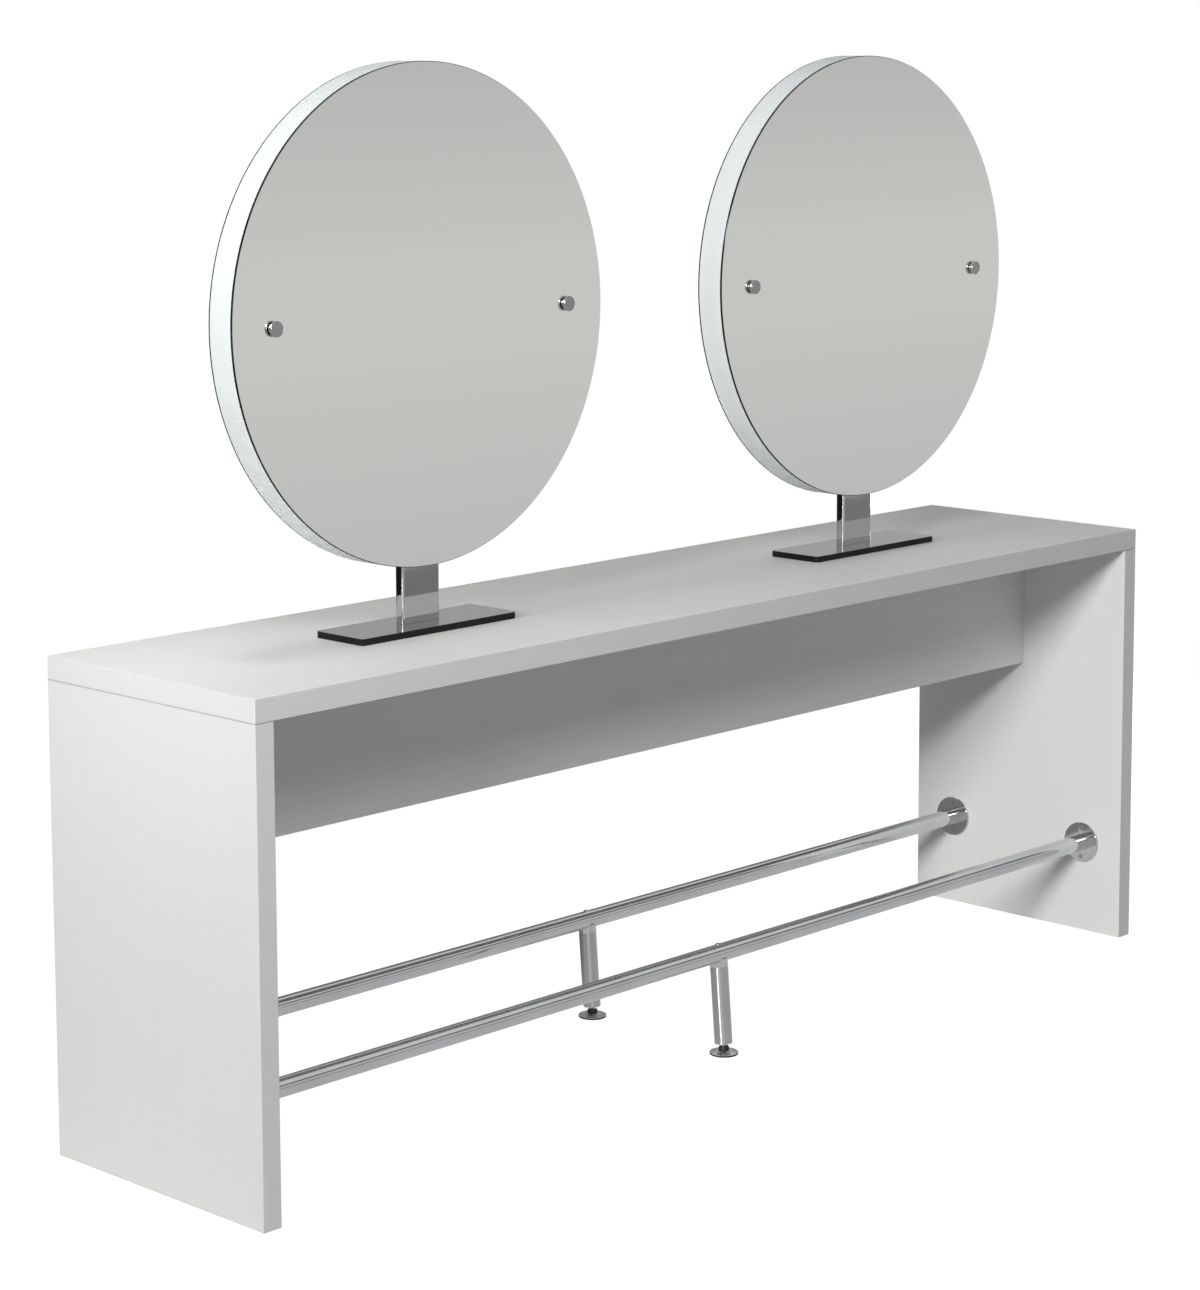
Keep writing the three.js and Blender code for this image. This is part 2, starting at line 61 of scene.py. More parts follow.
EASE_SEGMENTS = 2
CORNER_SEGMENTS = 8
EDGE_SEGMENTS = 3
MERGE = 1e-6
OVERCUT = 0.001
FLAT = 0.9
DRILL_STEPS = 32


class Grain(Enum):
    """Which way a board's grain runs, as the stretch of its pattern along X, Y and Z."""

    ALONG = (5.0, 420.0, 420.0)
    UPRIGHT = (420.0, 420.0, 5.0)


class Side(Enum):
    """The two ends of the table, with their sign along X."""

    LEFT = -1
    RIGHT = 1


class Face(Enum):
    """The two long sides of the table, with their sign along Y."""

    FRONT = -1
    BACK = 1


@dataclass(frozen=True)
class Value:
    """One shader socket that can be used in sums."""

    shader: "Shader"
    socket: bpy.types.NodeSocket

    def _math(self, operation: str, first: Any, second: Any) -> "Value":
        """Returns a Math node of the operation on two values."""
        return self.shader.node("ShaderNodeMath", {"operation": operation}, {0: first, 1: second})

    def __add__(self, other: Any) -> "Value":
        """Returns this plus other."""
        return self._math("ADD", self, other)

    def __radd__(self, other: Any) -> "Value":
        """Returns other plus this."""
        return self._math("ADD", other, self)

    def __sub__(self, other: Any) -> "Value":
        """Returns this less other."""
        return self._math("SUBTRACT", self, other)

    def __rsub__(self, other: Any) -> "Value":
        """Returns other less this."""
        return self._math("SUBTRACT", other, self)

    def __mul__(self, other: Any) -> "Value":
        """Returns this times other."""
        return self._math("MULTIPLY", self, other)

    def __rmul__(self, other: Any) -> "Value":
        """Returns other times this."""
        return self._math("MULTIPLY", other, self)

    def biggest(self, other: Any) -> "Value":
        """Returns the larger of this and other."""
        return self._math("MAXIMUM", self, other)

    def ramp(self, low: Number, high: Number, start: Number = 0.0, end: Number = 1.0) -> "Value":
        """Maps this smoothly from one span to another, clamped.

        Args:
            low: the value that gives start.
            high: the value that gives end.
            start: result at low.
            end: result at high.

        Returns:
            The mapped value.
        """
        settings = {"interpolation_type": "SMOOTHSTEP"}
        inputs = {"Value": self, "From Min": low, "From Max": high, "To Min": start, "To Max": end}
        return self.shader.node("ShaderNodeMapRange", settings, inputs)


class Shader:
    """Makes the nodes of one material or world."""

    def __init__(self, owner: Any) -> None:
        """Starts an empty node tree on a material or world.

        Args:
            owner: the material or world.
        """
        owner.use_nodes = True
        self.tree = owner.node_tree
        self.tree.nodes.clear()

    def node(self, kind: str, settings: Optional[Dict[str, Any]] = None,
             inputs: Optional[Dict[Any, Any]] = None, output: Union[int, str] = 0) -> Optional[Value]:
        """Adds one node.

        Args:
            kind: the node's type.
            settings: its own properties, set first; "stops" gives a colour ramp's stops.
            inputs: numbers, colours or links for its sockets.
            output: the output that is wanted.

        Returns:
            That output, or None for a node with no outputs.
        """
        made = self.tree.nodes.new(kind)
        for key, setting in (settings or {}).items():
            if key == "stops":
                self._set_stops(made.color_ramp, setting)
            else:
                setattr(made, key, setting)
        for key, value in (inputs or {}).items():
            if isinstance(value, Value):
                self.tree.links.new(value.socket, made.inputs[key])
            else:
                made.inputs[key].default_value = value
        return Value(self, made.outputs[output]) if len(made.outputs) else None

    @staticmethod
    def _set_stops(ramp: bpy.types.ColorRamp, stops: Sequence[Tuple[float, Colour]]) -> None:
        """Gives a colour ramp its stops.

        Args:
            ramp: the colour ramp.
            stops: each stop's place and colour.
        """
        while len(ramp.elements) < len(stops):
            ramp.elements.new(1.0)
        for element, (place, colour) in zip(ramp.elements, stops):
            element.position = place
            element.color = colour

    def place(self) -> Value:
        """Returns the place on the piece, in the part's frame."""
        return self.node("ShaderNodeTexCoord", None, None, "Object")

    def axes(self, vector: Value) -> Tuple[Value, Value, Value]:
        """Returns a vector's X, Y and Z as values."""
        split = [self.node("ShaderNodeSeparateXYZ", None, {"Vector": vector}, i) for i in range(3)]
        return split[0], split[1], split[2]

    def noise(self, stretch: Point, detail: float = 3.0, roughness: float = 0.5) -> Value:
        """Returns a noise over the piece.

        Args:
            stretch: cycles per metre along X, Y and Z.
            detail: octaves.
            roughness: weight of the finer octaves.

        Returns:
            The noise, about 0.5 on average.
        """
        mapped = self.node("ShaderNodeMapping", None, {"Vector": self.place(), "Scale": stretch})
        inputs = {"Vector": mapped, "Scale": 1.0, "Detail": detail, "Roughness": roughness}
        return self.node("ShaderNodeTexNoise", None, inputs, 0)

    def blend(self, factor: Value, first: Any, second: Any) -> Value:
        """Returns a colour between two, by a factor."""
        inputs = {0: factor, 6: first, 7: second}
        return self.node("ShaderNodeMix", {"data_type": "RGBA"}, inputs, 2)

    def bump(self, height: Value, distance: float, strength: float) -> Value:
        """Returns a normal raised by a height."""
        inputs = {"Height": height, "Distance": distance, "Strength": strength}
        return self.node("ShaderNodeBump", None, inputs)

    def surface(self, inputs: Dict[str, Any]) -> None:
        """Ends the tree in one Principled surface."""
        shade = self.node("ShaderNodeBsdfPrincipled", None, inputs)
        self.node("ShaderNodeOutputMaterial", None, {"Surface": shade})


def grey(level: float, warm: float = 0.0) -> Colour:
    """Returns a grey colour, warmer above 0 and cooler below."""
    return (level * (1 + warm), level, level * (1 - warm), 1.0)


@dataclass(frozen=True)
class Finish:
    """One material; each kind paints its own nodes."""

    name: str

    def make(self) -> Material:
        """Makes the material.

        Returns:
            The material.
        """
        material = bpy.data.materials.new(self.name)
        self.paint(Shader(material))
        return material

    def paint(self, shader: Shader) -> None:
        """Makes the material's nodes."""
        raise NotImplementedError


@dataclass(frozen=True)
class BoardFinish(Finish):
    """White melamine board with a fine pressed grain.

    Two fine lines of painted shadow, just above and below the joint's height, darken the seam where the top
    meets the sides.
    """

    grain: Grain
    light: Colour = (0.80, 0.80, 0.785, 1.0)
    dark: Colour = (0.77, 0.77, 0.757, 1.0)
    joint_height: float = 0.826
    seam_shadow_near: Pair = (0.0001, 0.0003)
    seam_shadow_far: Pair = (0.0013, 0.0009)
    seam_shadow_tone: float = 0.3
    seam_shadow_weight: float = 0.75

    def paint(self, shader: Shader) -> None:
        """Makes the material's nodes.

        Args:
            shader: the material's nodes.
        """
        fine = shader.noise(self.grain.value, 4.0, 0.6)
        wide = shader.noise(tuple(v * 0.12 for v in self.grain.value), 2.0)
        streak = fine * 0.8 + wide * 0.2
        board = shader.blend(streak.ramp(0.36, 0.62), self.dark, self.light)
        _, _, height = shader.axes(shader.place())
        rise = height - self.joint_height
        off = rise.biggest(rise * -1.0)
        # painted shadow in the seam: a dark band just above and below the joint's height
        seam_shadow = off.ramp(*self.seam_shadow_near) * off.ramp(*self.seam_shadow_far)
        shader.surface({
            "Base Color": shader.blend(seam_shadow * self.seam_shadow_weight, board, grey(self.seam_shadow_tone)),
            "Roughness": streak.ramp(0.3, 0.7, 0.5, 0.4),
            "Normal": shader.bump(fine, 0.0004, 0.12),
        })


@dataclass(frozen=True)
class MetalFinish(Finish):
    """Polished or plated metal with faint rubbing marks."""

    tone: float
    roughness: float
    warm: float = 0.0
    marks: float = 0.02
    drawn: float = 0.0

    def paint(self, shader: Shader) -> None:
        """Makes the material's nodes.

        Args:
            shader: the material's nodes.
        """
        cloud = shader.noise((9.0, 9.0, 9.0), 3.0)
        rub = shader.noise((45.0, 45.0, 45.0), 2.0)
        wear = cloud * 0.6 + rub * 0.4
        low, high = grey(self.tone * 0.94, self.warm), grey(self.tone, self.warm)
        shader.surface({
            "Base Color": shader.blend(cloud.ramp(0.35, 0.65), low, high),
            "Metallic": 1.0,
            "Roughness": wear.ramp(0.3, 0.7, self.roughness, self.roughness + self.marks),
            "Anisotropic": self.drawn,
            "Anisotropic Rotation": 0.25,
        })


@dataclass(frozen=True)
class PlateFinish(Finish):
    """Polished metal of the base plates with a painted reflection: bright on top, near black on the cut
    edges, by the way each face points.
    """

    top: float
    edge: float

    def paint(self, shader: Shader) -> None:
        """Makes the material's nodes.

        Args:
            shader: the material's nodes.
        """
        normal = shader.node("ShaderNodeNewGeometry", None, None, "Normal")
        _, _, up = shader.axes(normal)
        cloud = shader.noise((12.0, 12.0, 12.0), 3.0)
        # painted reflection: faces that point up get the top tone, the cut edges a near black that stands in
        # for the dark surroundings they reflect
        face = up.ramp(0.55, 0.95)
        shader.surface({
            "Base Color": shader.blend(face, grey(self.edge), grey(self.top)),
            "Metallic": 1.0,
            "Roughness": cloud.ramp(0.3, 0.7, 0.03, 0.06),
        })


@dataclass(frozen=True)
class MirrorFinish(Finish):
    """Silvered glass with a painted reflection: a little deeper in tone towards its top and foot."""

    middle: float
    top: float
    foot: float
    centre_height: float
    radius: float

    def paint(self, shader: Shader) -> None:
        """Makes the material's nodes.

        Args:
            shader: the material's nodes.
        """
        _, _, height = shader.axes(shader.place())
        rise = (height - self.centre_height) * (0.5 / self.radius) + 0.5
        # painted reflection of the room: the tone is deepest at the top and the foot, by height on the glass
        stops = [(0.0, self.tint(self.foot, 0.015)), (0.45, self.tint(self.middle, 0.05)),
                 (0.6, self.tint(self.middle, 0.05)), (1.0, self.tint(self.top, 0.02))]
        colour = shader.node("ShaderNodeValToRGB", {"stops": stops}, {"Fac": rise}, "Color")
        haze = shader.noise((30.0, 30.0, 30.0), 2.0)
        shader.surface({
            "Base Color": colour,
            "Metallic": 1.0,
            "Roughness": haze.ramp(0.3, 0.7, 0.02, 0.04),
        })

    @staticmethod
    def tint(level: float, green: float) -> Colour:
        """Returns the silver's colour, with the glass's slight green."""
        return (level * (1 - green * 0.2), level, level * (1 - green), 1.0)


@dataclass(frozen=True)
class MouldedFinish(Finish):
    """Moulded, coated or raw stuff with a fine skin: plastics, rubber and fibreboard."""

    light: Colour
    dark: Colour
    roughness: float
    grain: float
    relief: float

    def paint(self, shader: Shader) -> None:
        """Makes the material's nodes.

        Args:
            shader: the material's nodes.
        """
        skin = shader.noise((self.grain, self.grain, self.grain), 3.0)
        shader.surface({
            "Base Color": shader.blend(skin.ramp(0.35, 0.65), self.dark, self.light),
            "Roughness": skin.ramp(0.3, 0.7, self.roughness - 0.05, self.roughness + 0.05),
            "Normal": shader.bump(skin, self.relief, 0.2),
        })


class Bench:
    """Modelling moves that every piece shares."""

    @staticmethod
    def clear() -> None:
        """Leaves edit mode and deselects everything."""
        if bpy.context.object and bpy.context.object.mode != "OBJECT":
            bpy.ops.object.mode_set(mode="OBJECT")
        bpy.ops.object.select_all(action="DESELECT")

    @staticmethod
    def edit() -> None:
        """Opens the new piece in edit mode with all of it selected."""
        bpy.ops.object.mode_set(mode="EDIT")
        bpy.ops.mesh.select_mode(type="VERT")
        bpy.ops.mesh.select_all(action="SELECT")

    @staticmethod
    def close(name: str) -> Piece:
        """Leaves edit mode, puts the place into the mesh and names the piece.

        Args:
            name: the piece's name.

        Returns:
            The piece.
        """
        bpy.ops.object.mode_set(mode="OBJECT")
        piece = bpy.context.object
        bpy.ops.object.transform_apply(location=True, rotation=True, scale=True)
        piece.name = name
        piece.data.name = name
        return piece

    @staticmethod
    def slab(name: str, low: Point, high: Point, edge: float, upright: float = 0.0) -> Piece:
        """Models a board or bar with eased edges.

        Args:
            name: the piece's name.
            low: lowest corner.
            high: highest corner.
            edge: radius of every edge.
            upright: radius of the four upright corners, or 0 for the edge's own.

        Returns:
            The piece.
        """
        Bench.clear()
        centre = (Vector(low) + Vector(high)) / 2
        size = Vector(high) - Vector(low)
        bpy.ops.mesh.primitive_cube_add(size=1.0, location=centre, scale=size)
        bpy.ops.object.transform_apply(location=True, rotation=True, scale=True)
        Bench.edit()
        if upright:
            Bench.select_edges(lambda a, b: abs(a.z - b.z) > size.z * FLAT)
            bpy.ops.mesh.bevel(offset=upright, segments=CORNER_SEGMENTS, affect="EDGES")
            Bench.select_edges(lambda a, b: abs(a.z - b.z) < 1e-7)
        bpy.ops.mesh.bevel(offset=edge, segments=EDGE_SEGMENTS, affect="EDGES")
        return Bench.smooth(Bench.close(name))

    @staticmethod
    def select_edges(wanted: Callable[[Vector, Vector], bool]) -> None:
        """Selects the edges whose two ends pass a test, in edit mode.

        Args:
            wanted: the test, which is given the places of both ends.
        """
        bpy.ops.mesh.select_mode(type="EDGE")
        bpy.ops.mesh.select_all(action="DESELECT")
        bpy.ops.object.mode_set(mode="OBJECT")
        mesh = bpy.context.object.data
        for edge in mesh.edges:
            ends = [mesh.vertices[i].co for i in edge.vertices]
            edge.select = bool(wanted(*ends))
        bpy.ops.object.mode_set(mode="EDIT")

    @staticmethod
    def turned(name: str, profile: Profile, steps: int, edge: float = 0.0) -> Piece:
        """Models a turned piece about Z from its half profile.

        Args:
            name: the piece's name.
            profile: (radius, height) points, from axis to axis or closed on itself.
            steps: faces round the axis.
            edge: radius of its corners, or 0 to leave them sharp.

        Returns:
            The piece.
        """
        Bench.clear()
        bpy.ops.mesh.primitive_plane_add(size=0.001, location=(0, 0, 0))
        Bench.edit()
        bpy.ops.mesh.merge(type="CENTER")
        bpy.ops.transform.translate(value=(profile[0][0], 0, profile[0][1]))
        for (r0, h0), (r1, h1) in zip(profile, profile[1:]):
            step = {"value": (r1 - r0, 0, h1 - h0)}
            bpy.ops.mesh.extrude_vertices_move(TRANSFORM_OT_translate=step)
        bpy.ops.mesh.select_all(action="SELECT")
        bpy.ops.mesh.spin(steps=steps, angle=TURN, center=(0, 0, 0), axis=(0, 0, 1))
        bpy.ops.mesh.select_all(action="SELECT")
        bpy.ops.mesh.remove_doubles(threshold=MERGE)
        bpy.ops.mesh.normals_make_consistent(inside=False)
        piece = Bench.close(name)
        if edge:
            Bench.ease(piece, edge)
        return Bench.smooth(piece)

    @staticmethod
    def ease(piece: Piece, edge: float) -> None:
        """Rounds a piece's sharp corners with a bevel.

        Args:
            piece: the piece.
            edge: radius of the corners.
        """
        bevel = piece.modifiers.new("ease", "BEVEL")
        bevel.width = edge
        bevel.segments = EASE_SEGMENTS
        bevel.limit_method = "ANGLE"
        bevel.angle_limit = BEVEL_ANGLE
        Bench.apply(piece, bevel)

    @staticmethod
    def apply(piece: Piece, modifier: bpy.types.Modifier) -> None:
        """Applies one modifier.

        Args:
            piece: the piece.
            modifier: one of its modifiers.
        """
        Bench.clear()
        bpy.context.view_layer.objects.active = piece
        piece.select_set(True)
        bpy.ops.object.modifier_apply(modifier=modifier.name)

    @staticmethod
    def cut(piece: Piece, cutters: Sequence[Piece]) -> Piece:
        """Cuts pieces out of a piece and takes the cutters away.

        Args:
            piece: the piece.
            cutters: what is cut out of it.

        Returns:
            The piece.
        """
        for cutter in cutters:
            trim = piece.modifiers.new("cut", "BOOLEAN")
            trim.operation = "DIFFERENCE"
            trim.solver = "EXACT"
            trim.object = cutter
            Bench.apply(piece, trim)
            bpy.data.objects.remove(cutter, do_unlink=True)
        return Bench.smooth(piece)

    @staticmethod
    def hex_recess(screw: Piece, radius: float, depth: float, height: float) -> None:
        """Cuts a recess for a hexagon key into a screw's head.

        Args:
            screw: the screw, with Z as its axis.
            radius: of the hexagon's corners.
            depth: of the recess.
            height: of the head's end, where the recess opens.
        """
        Bench.clear()
        bpy.ops.mesh.primitive_cylinder_add(vertices=6, radius=radius, depth=depth * 2,
                                            location=(0, 0, height))
        Bench.cut(screw, [Bench.close("cutter")])

    @staticmethod
    def smooth(piece: Piece) -> Piece:
        """Shades a piece smooth up to its corners and keeps its flat faces flat.

        Args:
            piece: the piece.

        Returns:
            The piece.
        """
        Bench.clear()
        bpy.context.view_layer.objects.active = piece
        piece.select_set(True)
        bpy.ops.object.shade_smooth_by_angle(angle=SMOOTH_ANGLE)
        flat = piece.modifiers.new("flat", "WEIGHTED_NORMAL")
        flat.keep_sharp = True
        bpy.ops.object.modifier_apply(modifier=flat.name)
        return piece

    @staticmethod
    def moved(piece: Piece, place: Matrix) -> Piece:
        """Moves a piece's mesh, so that its object stays at the origin.

        Args:
            piece: the piece.
            place: where it goes, from where it was made.

        Returns:
            The piece.
        """
        piece.data.transform(place)
        piece.data.update()
        return piece

    @staticmethod
    def copied(piece: Piece, name: str, place: Matrix) -> Piece:
        """Copies a piece with a mesh of its own, at another place.

        Args:
            piece: the pattern.
            name: the copy's name.
            place: where the copy goes.

        Returns:
            The copy.
        """
        twin = piece.copy()
        twin.data = piece.data.copy()
        twin.name = name
        twin.data.name = name
        bpy.context.collection.objects.link(twin)
        return Bench.moved(twin, place)

    @staticmethod
    def drop(piece: Piece) -> None:
        """Takes a pattern piece away once its copies are made."""
        bpy.data.objects.remove(piece, do_unlink=True)


def disc(radius: float, bottom: float, top: float) -> Profile:
    """Returns the profile of a plain disc or rod."""
    return [(0.0, bottom), (radius, bottom), (radius, top), (0.0, top)]


def band(outer: float, inner: float, bottom: float, top: float) -> Profile:
    """Returns the closed profile of a tube or ring."""
    return [(inner, bottom), (outer, bottom), (outer, top), (inner, top), (inner, bottom)]


def arc(radius: float, height: float, start: float, end: float, steps: int) -> Profile:
    """Returns points of an arc about a point on the axis.

    Args:
        radius: of the arc.
        height: of its centre.
        start: first angle above the horizon, in radians.
        end: last angle.
        steps: number of spans.

    Returns:
        The points.
    """
    angles = [start + (end - start) * i / steps for i in range(steps + 1)]
    return [(radius * math.cos(a), height + radius * math.sin(a)) for a in angles]


class Finishes:
    """Every finish of the station, as materials."""

    def __init__(self) -> None:
        """Makes the materials."""
        calm = (0.785, 0.785, 0.771, 1.0)
        self.along = BoardFinish("melamine_along", Grain.ALONG).make()
        self.upright = BoardFinish("melamine_upright", Grain.UPRIGHT, dark=calm).make()
        self.chrome = MetalFinish("chrome_polished", tone=0.68, roughness=0.05, warm=-0.02).make()
        self.post = MetalFinish("chrome_dark", tone=0.56, roughness=0.03, warm=-0.025).make()
        self.satin = MetalFinish("chrome_satin", tone=0.57, roughness=0.3, warm=-0.02, marks=0.0,
                                 drawn=0.9).make()
        self.knob = MetalFinish("chrome_knob", tone=0.4, roughness=0.12).make()
        self.bright = MetalFinish("chrome_bright", tone=0.95, roughness=0.26).make()
        # the plates' near black edge tone is a painted reflection
        self.plate = PlateFinish("plate_dark", top=0.3, edge=0.03).make()
        self.steel = MetalFinish("steel_zinc", tone=0.5, roughness=0.22).make()
        # the mirror's deeper top and foot tones are a painted reflection
        self.mirror = MirrorFinish("mirror_silver", middle=1.0, top=0.83, foot=0.88, centre_height=1.414,
                                   radius=0.435).make()
        self.glass_edge = MetalFinish("mirror_cut_edge", tone=0.05, roughness=0.12, warm=-0.1).make()
        white, shade = (0.77, 0.815, 0.815, 1.0), (0.75, 0.795, 0.795, 1.0)
        self.rim = MouldedFinish("rim_white", white, shade, roughness=0.4, grain=14.0, relief=0.0).make()
        raw, deep = (0.40, 0.28, 0.15, 1.0), (0.30, 0.20, 0.10, 1.0)
        self.fibre = MouldedFinish("fibreboard_raw", raw, deep, roughness=0.8, grain=300.0,
                                   relief=0.0006).make()
        self.nylon = MouldedFinish("nylon_black", grey(0.008), grey(0.005), roughness=0.5, grain=900.0,
                                   relief=0.0001).make()
        self.rubber = MouldedFinish("rubber_black", grey(0.022), grey(0.014), roughness=0.75, grain=700.0,
                                    relief=0.0002).make()


def dress(piece: Piece, material: Material, body: str, slot: str, *nodes: str) -> None:
    """Gives a piece its material, its body and the nodes that it stands for.

    Args:
        piece: the piece.
        material: its finish.
        body: the body that it rides on.
        slot: the record's material slot; not used.
        nodes: CAD nodes that it replaces.
    """
    piece.data.materials.clear()
    piece.data.materials.append(material)
    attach(piece, body)
    if nodes:
        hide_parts(*nodes)
    LOG.info("%s: %d faces on %s", piece.name, len(piece.data.polygons), body)


def repaint(material: Material, *nodes: str) -> None:
    """Gives CAD nodes that stay a better material.

    Args:
        material: the new finish.
        nodes: the CAD nodes.
    """
    for node in nodes:
        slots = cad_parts[node].material_slots
        for place in slots:
            place.material = material
        LOG.info("%s: repainted", node)


@dataclass
class Table:
    """The white boards: top, two sides and the stretcher."""

    length: float = 2.4
    depth: float = 0.534
    height: float = 0.866
    top: float = 0.04
    side: float = 0.038
    stretcher: float = 0.025
    drop: float = 0.27
    edge: float = 0.0009

    def build(self, finishes: Finishes) -> None:
        """Models and dresses the four boards.

        Args:
            finishes: the materials.
        """
        half, deep, under = self.length / 2, self.depth / 2, self.height - self.top
        board = Bench.slab("top_board", (-half, -deep, under), (half, deep, self.height), self.edge)
        dress(board, finishes.along, STATION, "board", "table_top")
        for side in Side:
            outer, inner = side.value * half, side.value * (half - self.side)
            low = (min(outer, inner), -deep, 0.0)
            high = (max(outer, inner), deep, under)
            name = side.name.lower()
            board = Bench.slab(f"{name}_side_board", low, high, self.edge)
            dress(board, finishes.upright, STATION, "board", f"{name}_side_panel")
        reach, thick = half - self.side, self.stretcher / 2
        low, high = (-reach, -thick, under - self.drop), (reach, thick, under)
        board = Bench.slab("stretcher_board", low, high, self.edge)
        dress(board, finishes.along, STATION, "board", "stretcher_panel")


@dataclass(frozen=True)
class FlangeScrew:
    """Countersunk screw with a cross recess, with Z out of its head."""

    root: float = 0.0021
    shank: float = 0.0025
    head: float = 0.005
    tip: float = -0.028
    tip_length: float = 0.002
    tip_radius: float = 0.0012
    first_turn: float = -0.024
    pitch: float = 0.0025
    turns: int = 9
    flank: float = 0.0008
    cross: Pair = (0.0056, 0.0011)
    cross_depth: float = 0.0013
    cross_edge: float = 0.0002
    steps: int = 28

    def build(self, face: float) -> Piece:
        """Models the screw.

        Args:
            face: height of its head's flat face.

        Returns:
            The screw, as a pattern to copy.
        """
        profile = [(0.0, self.tip), (self.tip_radius, self.tip + self.tip_length)]
        for turn in range(self.turns):
            base = self.first_turn + turn * self.pitch
            profile += [(self.root, base), (self.shank, base + self.flank)]
        cone = self.head - self.shank
        profile += [(self.shank, face - cone), (self.head, face), (0.0, face)]
        screw = Bench.turned("screw", profile, self.steps)
        long, wide = self.cross
        cutters = []
        for x, y in ((long, wide), (wide, long)):
            low, high = (-x / 2, -y / 2, face - self.cross_depth), (x / 2, y / 2, face + OVERCUT)
            cutters.append(Bench.slab("cutter", low, high, self.cross_edge))
        return Bench.cut(screw, cutters)


@dataclass(frozen=True)
class LegScrew:
    """Button head screw from the top of a rail into its leg, with Z out of its head."""

    shank: float = 0.003
    tip: float = -0.045
    head: float = 0.0055
    sunk: float = 0.001
    rise: float = 0.002
    key: float = 0.0021
    key_depth: float = 0.002
    steps: int = 40

    def build(self, name: str, face: float) -> Piece:
        """Models the screw.

        Args:
            name: the screw's name.
            face: height of the rail's top, which its head is sunk into.

        Returns:
            The screw.
        """
        seat, dome = face - self.sunk, face + self.rise
        profile = [(0.0, self.tip), (self.shank, self.tip), (self.shank, seat), (self.head, seat),
                   (self.head, seat + 0.0008), (self.head - 0.0006, dome - 0.0008),
                   (self.head - 0.0019, dome - 0.0001), (0.0, dome)]
        screw = Bench.turned(name, profile, self.steps)
        Bench.hex_recess(screw, self.key, self.key_depth, dome)
        return screw


